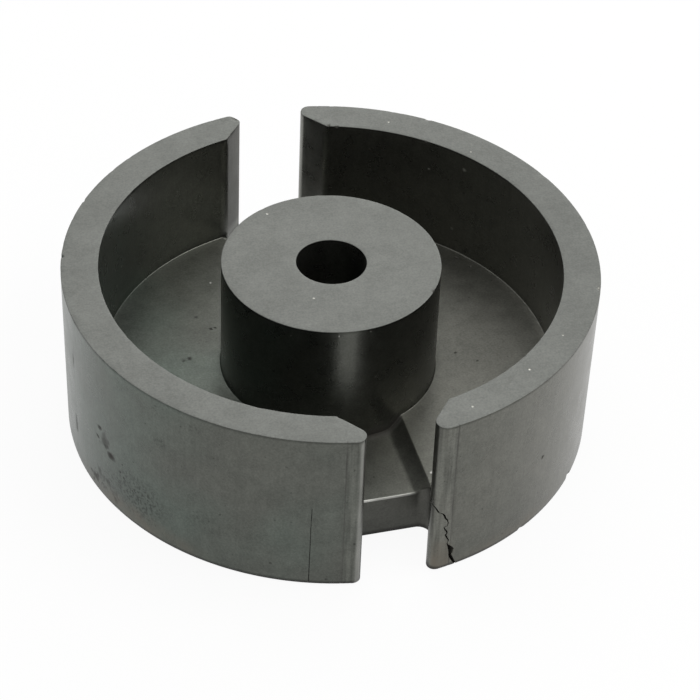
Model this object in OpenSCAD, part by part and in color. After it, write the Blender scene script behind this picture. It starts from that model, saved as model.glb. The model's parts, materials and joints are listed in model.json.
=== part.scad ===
// Half of a round ferrite pot core, open face up: a drum with a hollow centre post,
// an annular winding space, and two wire slots on opposite sides that run down into
// notches and lead-out channels in the base. Millimetres, +Z towards the mating face,
// origin at the centre of the underside.

/* [Drum] */
// Outer diameter at the mating face
outer_d = 42.4; // [41:0.1:48]
// Height of the half, underside to mating face
core_h = 14.8; // [12:0.1:20]
// Inner diameter of the ring wall
ring_inner_d = 36.54; // [33:0.02:37.4]
// Thickness of the base under the winding space
base_t = 4.6; // [4:0.1:6]
// How much smaller the outer radius is at the underside than at the mating face
wall_draft = 0.15; // [0.05:0.01:0.4]

/* [Centre post] */
// Diameter of the centre post
post_d = 17.35; // [12:0.05:20]
// Diameter of the hole down the centre post
bore_d = 5.56; // [3:0.02:8]

/* [Wire slots] */
// Narrowest width of a slot, between the rounded ends of the ring wall
throat_w = 5.3; // [4:0.1:7]
// Width of a slot where it opens into the winding space
slot_w = 8.6; // [8.2:0.1:12]
// Radius of the rounded ends of the ring wall
nose_r = 0.8; // [0.5:0.05:1.1]

/* [Base notches] */
// How far a notch cuts into the base from the outer surface
notch_depth = 5.4; // [4.4:0.1:7]
// Width of a notch
notch_w = 7.9; // [7:0.1:8.1]
// Radius of a notch's inner corners
notch_corner_r = 0.95; // [0.3:0.05:2]

/* [Lead-out channels] */
// Depth of a channel below the floor of the winding space
channel_depth = 1.05; // [0.5:0.05:2]
// Width of a channel at its bottom
channel_bottom_w = 6.1; // [3:0.1:6.8]
// Radius of the rounded edge where a channel ends at its notch
channel_lip_r = 0.15; // [0.1:0.05:0.45]

/* [Edges] */
// Radius of the outer edge of the underside
base_edge_r = 0.35; // [0.1:0.05:1]
// Radius at the foot of the ring wall and of the centre post
foot_r = 0.15; // [0.1:0.05:0.8]

/* [Crack] */
// Width of the crack beside one slot, where it is widest
crack_w = 0.36; // [0.1:0.02:0.6]
// Depth of the crack below the outer surface
crack_cut = 1.4; // [0.4:0.1:1.8]

/* [Hidden] */

$fn = 96;
eps = 0.01;             // overlap that keeps cuts clear of shared faces
past = 2;               // how far a cutter runs past the surface that it opens
outer_r = outer_d / 2;
base_r = outer_r - wall_draft;
ring_inner_r = ring_inner_d / 2;
post_r = post_d / 2;
bore_r = bore_d / 2;

// The ring wall ends in a nose, a round of nose_r that touches the outer surface.
nose_x = throat_w / 2 + nose_r;
nose_y = sqrt(pow(outer_r - nose_r, 2) - pow(nose_x, 2));
nose_azimuth = atan2(nose_x, nose_y);
slot_x = slot_w / 2;
slot_y = sqrt(pow(ring_inner_r, 2) - pow(slot_x, 2));

// A slot's flank leaves the inner face at (slot_x, slot_y) and runs tangent to the nose.
flank_run = norm([nose_x - slot_x, nose_y - slot_y]);
flank_azimuth = atan2(nose_x - slot_x, nose_y - slot_y);
flank_turn = asin(nose_r / flank_run);
flank_len = sqrt(pow(flank_run, 2) - pow(nose_r, 2));
flank_x = slot_x + flank_len * sin(flank_azimuth - flank_turn);
flank_y = slot_y + flank_len * cos(flank_azimuth - flank_turn);

notch_y = outer_r - notch_depth;
notch_x = notch_w / 2;
channel_z = base_t - channel_depth;
channel_x = channel_bottom_w / 2;

// Crack, from the slot down to the underside: distance round the drum from the nose's
// centre, height above the underside, and width as a share of crack_w.
crack_path = [
    [-1.13, 7.60, 0.14],
    [-0.97, 7.25, 0.17],
    [-0.56, 6.35, 0.22],
    [-0.13, 5.95, 0.25],
    [0.07, 5.68, 0.22],
    [0.31, 5.20, 0.20],
    [0.30, 4.95, 0.17],
    [0.12, 4.82, 0.17],
    [0.08, 4.55, 0.17],
    [0.32, 3.95, 0.22],
    [0.40, 3.55, 0.22],
    [0.30, 3.28, 0.20],
    [0.54, 2.82, 0.25],
    [0.50, 2.62, 0.28],
    [0.63, 2.25, 0.55],
    [0.81, 1.88, 1.00],
    [0.84, 1.54, 0.90],
    [0.96, 1.14, 0.45],
    [1.20, 0.57, 0.33],
    [1.41, 0.25, 0.28],
    [1.55, -0.10, 0.28]
];

// Square of side r in the corner at the origin, less the quarter round that stays.
module corner_round(r) {
    difference() {
        translate([-eps, -eps]) square(r + eps);
        translate([r, r]) circle(r);
    }
}

// Half section of the drum before the slots are cut: x is the radius, y the height.
module drum_section() {
    difference() {
        polygon([
            [bore_r, 0],
            [base_r, 0],
            [outer_r, core_h],
            [bore_r, core_h]
        ]);
        translate([base_r, 0]) mirror([1, 0]) corner_round(base_edge_r);
        winding_section();
    }
}

// Half section of the winding space, rounded where it meets the base.
module winding_section() {
    difference() {
        translate([post_r, base_t])
            square([ring_inner_r - post_r, core_h - base_t + past]);
        translate([post_r, base_t]) corner_round(foot_r);
        translate([ring_inner_r, base_t]) mirror([1, 0]) corner_round(foot_r);
    }
}

// Plan of a wire slot, pointing along +Y: the notch, the flanks and the throat.
module slot_plan() {
    reach = (outer_r + past) / (outer_r - nose_r);
    difference() {
        polygon([
            [-notch_x, notch_y],
            [notch_x, notch_y],
            [notch_x, notch_y + notch_corner_r],
            [slot_x, slot_y],
            [flank_x, flank_y],
            [nose_x, nose_y],
            [nose_x * reach, nose_y * reach],
            [-nose_x * reach, nose_y * reach],
            [-nose_x, nose_y],
            [-flank_x, flank_y],
            [-slot_x, slot_y],
            [-notch_x, notch_y + notch_corner_r]
        ]);
        for (side = [-1, 1]) {
            translate([side * nose_x, nose_y]) circle(nose_r);
            translate([side * notch_x, notch_y]) mirror([side > 0 ? 1 : 0, 0])
                corner_round(notch_corner_r);
        }
    }
}

// Channel that leads a wire down from the winding space to the notch, along +Y. Its
// sides slope up and out until they are as wide as the notch.
module channel() {
    translate([0, notch_y + past, channel_z]) rotate([90, 0, 0])
        linear_extrude(notch_y + past)
            polygon([
                [-channel_x, 0],
                [channel_x, 0],
                [notch_x, channel_depth],
                [notch_x, channel_depth + past],
                [-notch_x, channel_depth + past],
                [-notch_x, channel_depth]
            ]);
    translate([-channel_x, notch_y, channel_z]) rotate([90, 0, 90])
        linear_extrude(channel_bottom_w)
            rotate(180) corner_round(channel_lip_r);
}

// Thin jagged cut that follows crack_path on the outer surface, facing -Y.
module crack() {
    half = crack_w / 2;
    steps = len(crack_path) - 1;
    one_side = [for (i = [0 : steps])
        [crack_path[i][0] - half * crack_path[i][2], crack_path[i][1]]];
    other_side = [for (i = [steps : -1 : 0])
        [crack_path[i][0] + half * crack_path[i][2], crack_path[i][1]]];
    translate([0, crack_cut - outer_r, 0]) rotate([90, 0, 0])
        linear_extrude(crack_cut + past)
            polygon(concat(one_side, other_side));
}

module pot_core_half() {
    color([0.33, 0.34, 0.32])
    difference() {
        rotate_extrude() drum_section();
        for (turn = [0, 180]) rotate(turn) {
            translate([0, 0, -past]) linear_extrude(core_h + 2 * past) slot_plan();
            difference() {
                channel();
                cylinder(h = core_h + past, r = post_r);
            }
        }
        rotate(nose_azimuth) crack();
    }
}

pot_core_half();
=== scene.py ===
"""Looks of one half of a round ferrite pot core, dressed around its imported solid.

The half is a single piece of sintered ferrite. Its visible shape is worked out here from
its plan: the ring wall's outline with rounded ends at two wire slots, the floor with its
two lead-out channels, the hollow post, and a skin that is refined where edges, pits and
the crack need finer faces. Lengths are in millimetres until a mesh is written.
"""

from __future__ import annotations

import json
import logging
import math
from collections.abc import Iterator
from dataclasses import dataclass, field
from enum import Enum
from typing import Callable

import bpy
import numpy as np
from mathutils import Matrix, Vector

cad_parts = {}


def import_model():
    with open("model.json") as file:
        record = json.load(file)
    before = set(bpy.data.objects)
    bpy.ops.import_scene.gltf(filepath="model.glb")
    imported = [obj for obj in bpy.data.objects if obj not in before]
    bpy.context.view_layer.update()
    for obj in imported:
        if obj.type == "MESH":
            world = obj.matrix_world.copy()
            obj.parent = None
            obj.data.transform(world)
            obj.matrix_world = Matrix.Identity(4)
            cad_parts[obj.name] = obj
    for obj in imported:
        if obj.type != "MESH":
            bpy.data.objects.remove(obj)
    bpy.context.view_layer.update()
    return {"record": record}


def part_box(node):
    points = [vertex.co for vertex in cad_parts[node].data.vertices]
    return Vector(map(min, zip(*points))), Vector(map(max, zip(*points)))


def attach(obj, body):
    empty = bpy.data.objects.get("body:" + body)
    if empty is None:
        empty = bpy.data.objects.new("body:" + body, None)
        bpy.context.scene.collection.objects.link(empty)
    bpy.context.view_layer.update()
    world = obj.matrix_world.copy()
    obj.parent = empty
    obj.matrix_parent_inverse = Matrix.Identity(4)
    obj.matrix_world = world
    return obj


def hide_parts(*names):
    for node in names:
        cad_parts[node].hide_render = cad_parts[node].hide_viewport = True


LOG = logging.getLogger("pot_core")
MM = 0.001
NODE = "pot_core_half"
BODY = "root"
QUARTER_TURN = math.pi / 2.0

# Large primes that scatter the noise's cells, and the bits that are kept at each step.
CELL_PRIMES = np.array([73856093, 19349663, 83492791])
SEED_PRIME = 2654435761
MIXING = ((13, 1274126177), (16, 668265263))
KEPT_BITS = 0x7FFFFFFF
VALUE_BITS = 0xFFFFF


# ---------------------------------------------------------------- small numeric helpers


def polar(radius: np.ndarray | float, angle: np.ndarray | float) -> np.ndarray:
    """Plan points at a radius and an angle in radians, as an array of x and y."""
    return np.stack([radius * np.cos(angle), radius * np.sin(angle)], axis=-1)


def smoothstep(low: float, high: float, value: np.ndarray) -> np.ndarray:
    """Rises from 0 at low to 1 at high with no slope at either end."""
    share = np.clip((value - low) / (high - low), 0.0, 1.0)
    return share * share * (3.0 - 2.0 * share)


def fade(low: float, high: float, value: np.ndarray) -> np.ndarray:
    """Falls from 1 at low to 0 at high with no slope at either end."""
    return 1.0 - smoothstep(low, high, value)


def unit(vectors: np.ndarray) -> np.ndarray:
    """The same vectors at length 1."""
    return vectors / np.maximum(np.linalg.norm(vectors, axis=-1, keepdims=True), 1e-12)


def length_run(chain: np.ndarray) -> np.ndarray:
    """Distance along a chain of points at each of them, from 0."""
    return np.concatenate([[0.0], np.cumsum(np.linalg.norm(np.diff(chain, axis=0), axis=1))])


def lattice_value(cells: np.ndarray, seed: int) -> np.ndarray:
    """A repeatable random value from 0 to 1 for each whole-numbered cell.

    Args:
        cells: Whole-numbered cell coordinates, one row of three for each point.
        seed: Chooses one of many unrelated patterns.

    Returns:
        One value for each row, the same on every run.
    """
    mixed = np.bitwise_xor.reduce(cells * CELL_PRIMES, axis=-1)
    mixed = (mixed ^ (seed * SEED_PRIME)) & KEPT_BITS
    for shift, prime in MIXING:
        mixed = (mixed ^ (mixed >> shift)) * prime & KEPT_BITS
    return (mixed & VALUE_BITS) / float(VALUE_BITS)


def grain(points: np.ndarray, size: float, seed: int) -> np.ndarray:
    """Smooth value noise from -1 to 1 whose lumps are about size across.

    The eight corners of each point's cell hold random values, and a smooth cubic weight
    along each axis blends them.

    Args:
        points: Positions in millimetres, one row for each point.
        size: Width of one lump in millimetres.
        seed: Chooses the pattern.

    Returns:
        One value for each point.
    """
    always_positive = 1000.0
    scaled = points / size + always_positive
    cell = np.floor(scaled).astype(np.int64)
    share = smoothstep(0.0, 1.0, scaled - cell)
    total = np.zeros(len(points))
    for corner in np.ndindex(2, 2, 2):
        step = np.array(corner[::-1])
        weight = np.prod(np.where(step, share, 1.0 - share), axis=-1)
        total += weight * lattice_value(cell + step, seed)
    return total * 2.0 - 1.0


def distance_to_path(points: np.ndarray, path: np.ndarray) -> tuple[np.ndarray, np.ndarray]:
    """Distance from flat points to a jointed line, and the line's third value there.

    Args:
        points: Plan points, one row of two for each.
        path: The line's corners as rows of x, y and a value carried along it.

    Returns:
        The distance to the nearest stretch, and the carried value at that nearest place.
    """
    start, end = path[:-1, :2], path[1:, :2]
    along = end - start
    offset = points[:, None, :] - start[None]
    share = np.clip((offset * along).sum(-1) / (along * along).sum(-1), 0.0, 1.0)
    gap = np.linalg.norm(offset - share[..., None] * along, axis=-1)
    nearest = gap.argmin(axis=1)
    rows = np.arange(len(points))
    best = share[rows, nearest]
    carried = path[nearest, 2] * (1.0 - best) + path[nearest + 1, 2] * best
    return gap[rows, nearest], carried


# ---------------------------------------------------------------- the half's sizes


@dataclass(frozen=True)
class HalfSizes:
    """Driving sizes of the core half in millimetres. The overall ones come from the frame."""

    outer_r: float
    height: float
    bore_r: float
    ring_inner_r: float = 18.27
    post_r: float = 8.675
    base_t: float = 4.6
    wall_draft: float = 0.15
    throat_half: float = 2.65
    slot_half: float = 4.3
    nose_r: float = 0.8
    notch_half: float = 3.95
    notch_depth: float = 5.4
    notch_corner_r: float = 0.95
    notch_edge_r: float = 0.12
    channel_half: float = 3.05
    channel_depth: float = 0.9
    channel_side_in: float = 0.28
    channel_side_bend: float = 1.25
    channel_side_blur: float = 0.05
    lip_r: float = 0.15
    lip_corner_r: float = 0.1
    foot_r: float = 0.1
    base_edge_r: float = 0.35
    rim_edge_r: float = 0.06
    insert_line_x: float = 4.26

    @classmethod
    def from_frame(cls, record: dict) -> "HalfSizes":
        """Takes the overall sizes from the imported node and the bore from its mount.

        Args:
            record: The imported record.

        Returns:
            The sizes to build with.
        """
        low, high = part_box(NODE)
        bore = next(m for m in record["mounts"] if m["name"] == "centre_bore")
        half_width = max(high.x - low.x, high.y - low.y) / 2.0 / MM
        return cls(
            outer_r=round(half_width, 1),
            height=(high.z - low.z) / MM,
            bore_r=bore["dims"]["r_mm"],
        )

    @property
    def notch_y(self) -> float:
        """How far the notch's inner face stands from the axis."""
        return self.outer_r - self.notch_depth

    @property
    def channel_z(self) -> float:
        """Height of a channel's bottom."""
        return self.base_t - self.channel_depth

    @property
    def nose(self) -> np.ndarray:
        """Centre of the round at the ring wall's end, in plan."""
        x = self.throat_half + self.nose_r
        return np.array([x, math.sqrt((self.outer_r - self.nose_r) ** 2 - x * x)])

    @property
    def slot_corner(self) -> np.ndarray:
        """Where a slot's flank meets the ring wall's inner face, in plan."""
        return np.array([self.slot_half, math.sqrt(self.ring_inner_r**2 - self.slot_half**2)])

    @property
    def flank_angle(self) -> float:
        """Direction in which a slot's flank faces, in radians, found as a tangent."""
        run = self.slot_corner - self.nose
        length = float(np.hypot(*run))
        return math.atan2(run[1], run[0]) - math.acos(self.nose_r / length) + 2.0 * math.pi

    def wall_r(self, height: float) -> float:
        """Radius of the outer wall at a height."""
        return self.outer_r - self.wall_draft * (1.0 - height / self.height)

    def floor_height(self, x: np.ndarray) -> np.ndarray:
        """Height of the winding space's floor, lower in the channels.

        The channel's section is a flat bottom and two sides that curve up as a power of
        the way across, and a short moving average along x rounds its top corners.

        Args:
            x: Distance from the slots' middle plane.

        Returns:
            The floor's height at each x.
        """
        start = self.channel_half - self.channel_side_in
        total = np.zeros_like(x)
        offsets = np.linspace(-self.channel_side_blur, self.channel_side_blur, 9)
        for offset in offsets:
            rise = (np.abs(x) + offset - start) / (self.notch_half - start)
            total += np.clip(rise, 0.0, 1.0) ** self.channel_side_bend
        return self.base_t - self.channel_depth * (1.0 - total / len(offsets))


# ---------------------------------------------------------------- triangles in plain arrays


@dataclass
class Skin:
    """A growing closed surface: points in millimetres and triangles of point numbers."""

    points: np.ndarray = field(default_factory=lambda: np.zeros((0, 3)))
    faces: np.ndarray = field(default_factory=lambda: np.zeros((0, 3), dtype=np.int64))

    # Points in one cell of this width are one point. The shift keeps the cells' borders
    # away from round numbers, where most points lie.
    WELD_CELL = 2e-5
    WELD_SHIFT = 0.37123

    def add(self, points: np.ndarray, faces: np.ndarray, turned: bool = False) -> None:
        """Adds points with their own triangles, which face the other way if turned."""
        faces = faces[:, ::-1] if turned else faces
        self.faces = np.concatenate([self.faces, faces + len(self.points)])
        self.points = np.concatenate([self.points, points])

    def add_grid(self, grid: np.ndarray, turned: bool = False) -> None:
        """Adds a grid of points as two triangles a cell.

        Args:
            grid: Rows by columns by three.
            turned: True to make the triangles face the other way.
        """
        rows, columns = grid.shape[:2]
        number = np.arange(rows * columns).reshape(rows, columns)
        a, b = number[:-1, :-1].ravel(), number[:-1, 1:].ravel()
        c, d = number[1:, 1:].ravel(), number[1:, :-1].ravel()
        faces = np.concatenate([np.stack([a, b, c], -1), np.stack([a, c, d], -1)])
        self.add(grid.reshape(-1, 3), faces, turned)

    def add_strip(self, first: np.ndarray, second: np.ndarray, turned: bool = False) -> None:
        """Joins two chains of points with one strip of triangles.

        Each chain is read by its share of length, the steps of both are sorted together,
        and every step makes one triangle with the point then reached on the other chain.

        Args:
            first: One chain.
            second: The other, running the same way.
            turned: True to make the triangles face the other way.
        """
        runs = [length_run(chain) for chain in (first, second)]
        steps = np.concatenate([run[1:] / run[-1] for run in runs])
        side = np.repeat([0, 1], [len(first) - 1, len(second) - 1])
        side = side[np.lexsort((side, steps))]
        reached_a, reached_b = np.cumsum(side == 0), np.cumsum(side == 1)
        shift = len(first)
        before_a, before_b = reached_a - (side == 0), reached_b - (side == 1) + shift
        third = np.where(side == 0, reached_a, reached_b + shift)
        faces = np.stack([before_a, before_b, third], -1)
        self.add(np.concatenate([first, second]), faces, turned)

    def mirror(self, axis: int) -> None:
        """Adds the surface's mirror image across the plane through 0 on one axis."""
        image = self.points.copy()
        image[:, axis] *= -1.0
        self.add(image, self.faces, turned=True)

    def weld(self) -> None:
        """Makes points that share a place one point, and drops triangles left flat."""
        keys = np.floor(self.points / self.WELD_CELL + self.WELD_SHIFT).astype(np.int64)
        _, keep, numbers = np.unique(keys, axis=0, return_index=True, return_inverse=True)
        self.points = self.points[keep]
        faces = numbers.reshape(-1)[self.faces]
        self.faces = faces[(faces != np.roll(faces, 1, axis=1)).all(axis=1)]

    def refine(self, wanted: Callable[[np.ndarray], np.ndarray], rounds: int) -> None:
        """Halves edges until each is about as short as wanted at its middle.

        In each round every edge that is too long is marked, and so is the longest edge of
        every triangle that has a mark. Marked edges are cut in the middle and each
        triangle is split by its longest edge first, so no gap opens between triangles.

        Args:
            wanted: Gives the edge length wanted at each of many places.
            rounds: How many rounds at most.
        """
        for _ in range(rounds):
            sides = np.sort(self.faces[:, [[0, 1], [1, 2], [2, 0]]], axis=-1)
            edges, numbers = np.unique(sides.reshape(-1, 2), axis=0, return_inverse=True)
            numbers = numbers.reshape(-1, 3)
            start, end = self.points[edges[:, 0]], self.points[edges[:, 1]]
            length = np.linalg.norm(end - start, axis=1)
            marked = length > wanted((start + end) / 2.0)
            if not marked.any():
                return
            longest = length[numbers].argmax(axis=1)
            settled = False
            while not settled:
                touched = marked[numbers].any(axis=1)
                need = numbers[touched, longest[touched]]
                settled = bool(marked[need].all())
                marked[need] = True
            self._split(edges, numbers, longest, marked)

    def _split(
        self, edges: np.ndarray, numbers: np.ndarray, longest: np.ndarray, marked: np.ndarray
    ) -> None:
        """Cuts the marked edges and the triangles beside them.

        A triangle a, b, c has its longest edge from a to b, with m in its middle. The
        middles of the two other edges are r, between b and c, and q, between c and a.

        Args:
            edges: Pairs of point numbers.
            numbers: The three edges of each triangle.
            longest: Which of its three edges is each triangle's longest.
            marked: Which edges are cut.
        """
        middle_of = np.full(len(edges), -1)
        middle_of[marked] = len(self.points) + np.arange(int(marked.sum()))
        middles = self.points[edges[marked]].mean(axis=1)
        rows = np.arange(len(self.faces))[:, None]
        turn = (longest[:, None] + np.arange(3)) % 3
        a, b, c = self.faces[rows, turn].T
        m, r, q = middle_of[numbers[rows, turn]].T
        cut, bc, ca = m >= 0, r >= 0, q >= 0
        kinds = (
            ((a, b, c), ~cut),
            ((m, b, c), cut & ~bc),
            ((m, b, r), cut & bc),
            ((m, r, c), cut & bc),
            ((a, m, c), cut & ~ca),
            ((a, m, q), cut & ca),
            ((m, c, q), cut & ca),
        )
        self.faces = np.concatenate([np.stack(corners, -1)[which] for corners, which in kinds])
        self.points = np.concatenate([self.points, middles])

    def normals(self) -> np.ndarray:
        """The direction that each point faces, from the triangles round it."""
        corners = self.points[self.faces]
        area = np.cross(corners[:, 1] - corners[:, 0], corners[:, 2] - corners[:, 0])
        total = np.zeros_like(self.points)
        for place in range(3):
            np.add.at(total, self.faces[:, place], area)
        return unit(total)

    def volume(self) -> float:
        """Volume inside the surface in cubic millimetres, positive if it faces out."""
        a, b, c = np.moveaxis(self.points[self.faces], 1, 0)
        return float((a * np.cross(b, c)).sum() / 6.0)


# ---------------------------------------------------------------- a quarter of the half


@dataclass
class Outline:
    """A stretch of plan outline: points, the way the wall faces, and base edge radii."""

    points: np.ndarray
    facing: np.ndarray
    base_edge: np.ndarray

    @staticmethod
    def straight(
        start: np.ndarray, end: np.ndarray, steps: int, facing: np.ndarray, base_edge: float
    ) -> "Outline":
        """A straight stretch, whose points are at even shares of the way.

        Args:
            start: Its first point.
            end: Its last point.
            steps: How many steps it has.
            facing: The way its wall faces.
            base_edge: Its wall's base edge radius.

        Returns:
            The stretch.
        """
        along = np.linspace(0.0, 1.0, steps + 1)[:, None]
        facings = np.repeat([facing], steps + 1, axis=0)
        return Outline(start * (1.0 - along) + end * along, facings, np.full(steps + 1, base_edge))

    @staticmethod
    def arc(
        radius: float,
        turn: np.ndarray,
        centre: np.ndarray | float = 0.0,
        base_edge: np.ndarray | float = 0.0,
        hollow: bool = False,
    ) -> "Outline":
        """A round stretch, whose points lie at a radius from its centre.

        Args:
            radius: Its radius.
            turn: The angle of each point, in radians.
            centre: Its centre.
            base_edge: Its wall's base edge radius, or one for each point.
            hollow: True where the wall faces the centre.

        Returns:
            The stretch.
        """
        outward = polar(1.0, turn)
        edges = np.broadcast_to(base_edge, len(turn))
        return Outline(centre + polar(radius, turn), -outward if hollow else outward, edges)

    @staticmethod
    def joined(*stretches: "Outline") -> "Outline":
        """One outline from stretches that each begin where the last ended."""
        first, *rest = stretches
        return Outline(
            np.concatenate([first.points, *(s.points[1:] for s in rest)]),
            np.concatenate([first.facing, *(s.facing[1:] for s in rest)]),
            np.concatenate([first.base_edge, *(s.base_edge[1:] for s in rest)]),
        )


@dataclass
class Edge:
    """A rounded edge along a wall.

    The round leaves the wall at radius from its level and ends at the level, one radius
    to the side that step points to. Lift is 1 for a foot and -1 for a rim.
    """

    STEPS = 4

    level: np.ndarray | float
    radius: np.ndarray | float
    step: np.ndarray
    lift: float

    def start(self) -> np.ndarray | float:
        """Height at which the round leaves the wall."""
        return self.level + self.lift * self.radius

    def rows(self, plan: np.ndarray) -> list[np.ndarray]:
        """Rows of points round the edge, from its level to where it leaves the wall."""
        level, radius = (np.broadcast_to(v, len(plan)) for v in (self.level, self.radius))
        turn = np.linspace(0.0, QUARTER_TURN, self.STEPS + 1)
        rows = []
        for inset, rise in zip(1.0 - np.sin(turn), 1.0 - np.cos(turn)):
            aside = plan + self.step * (radius * inset)[:, None]
            rows.append(np.column_stack([aside, level + self.lift * radius * rise]))
        return rows


class Quarter:
    """Builds the quarter at +X and +Y, whose slot points along +Y, as grids that share edges."""

    ARC_STEPS = 43
    NOSE_STEPS = 24
    FLANK_STEPS = 5
    SIDE_STEPS = 4
    CORNER_STEPS = 14
    FLOOR_STEPS = 14
    BORE_TURN_STEPS = 14
    LOW_STEPS = 7
    HIGH_STEPS = 14
    POST_STEPS = 12

    # The outer arc has closer points at the insert's line, at these shares of its half turn.
    INSERT_HALF_TURN = 0.0045
    INSERT_SHARES = np.array([-2.2, -1.0, 0.0, 1.0, 2.2])
    PAST_INSERT = 3.0
    NOSE_END_STEPS = 3

    # The notch has closer points where the channel's bottom meets its sides: turns round
    # its corner beside that crease, and places across its face.
    CREASE_TURNS = np.array([-0.05, 0.0, 0.035, 0.07])
    FACE_X = (2.975, 2.94, 2.89, 2.8, 2.6, 2.2, 1.7, 1.1, 0.55, 0.0)

    # The lip is narrower beyond these places across the notch, and fades out within
    # LIP_END of the slot's corner, as the ring wall's foot does within FOOT_END.
    LIP_NARROWS = (2.75, 3.15)
    LIP_END = 0.7
    FOOT_END = 0.8

    def __init__(self, sizes: HalfSizes) -> None:
        """Keeps the sizes and works out the shared outlines."""
        self.sizes = sizes
        self.skin = Skin()
        self.wall_end = self._wall_end()
        self.notch = self._notch()
        start = math.atan2(sizes.slot_corner[1], sizes.slot_corner[0])
        turn = start * (1.0 - np.linspace(0.0, 1.0, self.ARC_STEPS + 1))
        self.inner = Outline.arc(sizes.ring_inner_r, turn, hollow=True)
        # Walls that meet at the slot corner step back to one shared point.
        flank, side, arc = self.wall_end.facing[-1], self.notch.facing[0], self.inner.facing[0]
        self.low_mitre = (flank + side) / (1.0 + flank @ side)
        self.high_mitre = (flank + arc) / (1.0 + flank @ arc)

    # -- outlines

    def _wall_end(self) -> Outline:
        """Outer arc from the X axis, the nose round, and the flank to the slot corner."""
        s = self.sizes
        nose_turn = math.atan2(s.nose[1], s.nose[0])
        line = math.acos(s.insert_line_x / s.outer_r)
        past = self.PAST_INSERT * self.INSERT_HALF_TURN
        arc = np.concatenate(
            [
                np.linspace(0.0, line - past, self.ARC_STEPS + 1),
                line + self.INSERT_HALF_TURN * self.INSERT_SHARES,
                np.linspace(line + past, nose_turn, self.NOSE_END_STEPS + 1),
            ]
        )
        outer = Outline.arc(s.outer_r, arc, base_edge=s.base_edge_r)
        turn = np.linspace(nose_turn, s.flank_angle, self.NOSE_STEPS + 1)
        share = (turn - nose_turn) / (s.flank_angle - nose_turn)
        edge = s.base_edge_r - (s.base_edge_r - s.notch_edge_r) * share
        nose = Outline.arc(s.nose_r, turn, s.nose, edge)
        flank = Outline.straight(
            nose.points[-1], s.slot_corner, self.FLANK_STEPS, nose.facing[-1], s.notch_edge_r
        )
        return Outline.joined(outer, nose, flank)

    def _notch(self) -> Outline:
        """From the slot corner down the notch's side, round its corner and along its face."""
        s = self.sizes
        radius, edge = s.notch_corner_r, s.notch_edge_r
        centre = np.array([s.notch_half - radius, s.notch_y + radius])
        side_end = centre + np.array([radius, 0.0])
        run = unit(side_end - s.slot_corner)
        across = np.array([run[1], -run[0]])
        side = Outline.straight(s.slot_corner, side_end, self.SIDE_STEPS, across, edge)
        crease = math.asin((s.channel_half - centre[0]) / radius)
        even = np.linspace(0.0, QUARTER_TURN, self.CORNER_STEPS + 1)
        turn = np.union1d(even, crease + self.CREASE_TURNS)
        turn = turn[turn >= 0.0][::-1] - QUARTER_TURN
        corner = Outline.arc(radius, turn, centre, edge, hollow=True)
        x = np.array([centre[0], *self.FACE_X])
        facing = np.repeat([[0.0, 1.0]], len(x), axis=0)
        points = np.stack([x, np.full_like(x, s.notch_y)], -1)
        return Outline.joined(side, corner, Outline(points, facing, np.full(len(x), edge)))

    # -- pieces of surface

    @staticmethod
    def _wall(
        line: Outline, foot: Edge, rim: Edge, *steps: int, level: float | None = None
    ) -> np.ndarray:
        """A wall carried up its outline, with a rounded foot and a rounded rim.

        Args:
            line: The wall's outline in plan.
            foot: Its rounded foot.
            rim: Its rounded rim.
            steps: Rows from foot to rim, or from foot to level and from there to rim.
            level: A height at which the wall has a row of its own.

        Returns:
            The wall's points, rows from the foot to the rim.
        """
        levels = [foot.start(), *([] if level is None else [level]), rim.start()]
        heights = []
        for low, high, count in zip(levels, levels[1:], steps):
            shares = np.linspace(0.0, 1.0, count + 1)[:-1]
            heights += [low + (high - low) * share for share in shares]
        plan = line.points
        heights = [np.broadcast_to(height, len(plan)) for height in heights[1:]]
        upright = [np.column_stack([plan, height]) for height in heights]
        return np.array(foot.rows(plan) + upright + rim.rows(plan)[::-1])

    def _rim(self, facing: np.ndarray) -> Edge:
        """The rim of a wall that faces one way and ends at the mating face."""
        return Edge(self.sizes.height, self.sizes.rim_edge_r, -facing, -1.0)

    def _outer_wall(self) -> np.ndarray:
        """Outer wall, nose and flank, drawn in a little towards the underside."""
        s, line = self.sizes, self.wall_end
        low, high = line.facing.copy(), line.facing.copy()
        low[-1], high[-1] = self.low_mitre, self.high_mitre
        foot = Edge(0.0, line.base_edge, -low, 1.0)
        steps = (self.LOW_STEPS, self.HIGH_STEPS)
        wall = self._wall(line, foot, self._rim(high), *steps, level=s.base_t)
        pull = s.wall_draft * (1.0 - wall[..., 2] / s.height)
        outward = np.clip((line.facing * unit(line.points)).sum(-1), 0.0, 1.0) ** 2
        wall[..., :2] -= (pull * outward)[..., None] * line.facing
        return wall

    def _notch_wall(self) -> np.ndarray:
        """Notch side, corner and face, from the underside to the floor or the channel."""
        s, line = self.sizes, self.notch
        low = line.facing.copy()
        low[0] = self.low_mitre
        wider = fade(*self.LIP_NARROWS, line.points[:, 0])
        lip = s.lip_corner_r + (s.lip_r - s.lip_corner_r) * wider
        lip = lip * smoothstep(0.0, self.LIP_END, s.slot_corner[1] - line.points[:, 1])
        crest = s.floor_height((line.points - line.facing * lip[:, None])[:, 0])
        foot = Edge(0.0, line.base_edge, -low, 1.0)
        return self._wall(line, foot, Edge(crest, lip, -line.facing, -1.0), self.LOW_STEPS)

    def _inner_wall(self) -> np.ndarray:
        """Ring wall's inner face, from the floor to the mating face."""
        s, line = self.sizes, self.inner
        high = line.facing.copy()
        high[0] = self.high_mitre
        reach = np.linalg.norm(line.points - line.points[0], axis=1)
        foot_r = s.foot_r * smoothstep(0.0, self.FOOT_END, reach)
        foot = Edge(s.base_t, foot_r, line.facing, 1.0)
        return self._wall(line, foot, self._rim(high), self.HIGH_STEPS)

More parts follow.
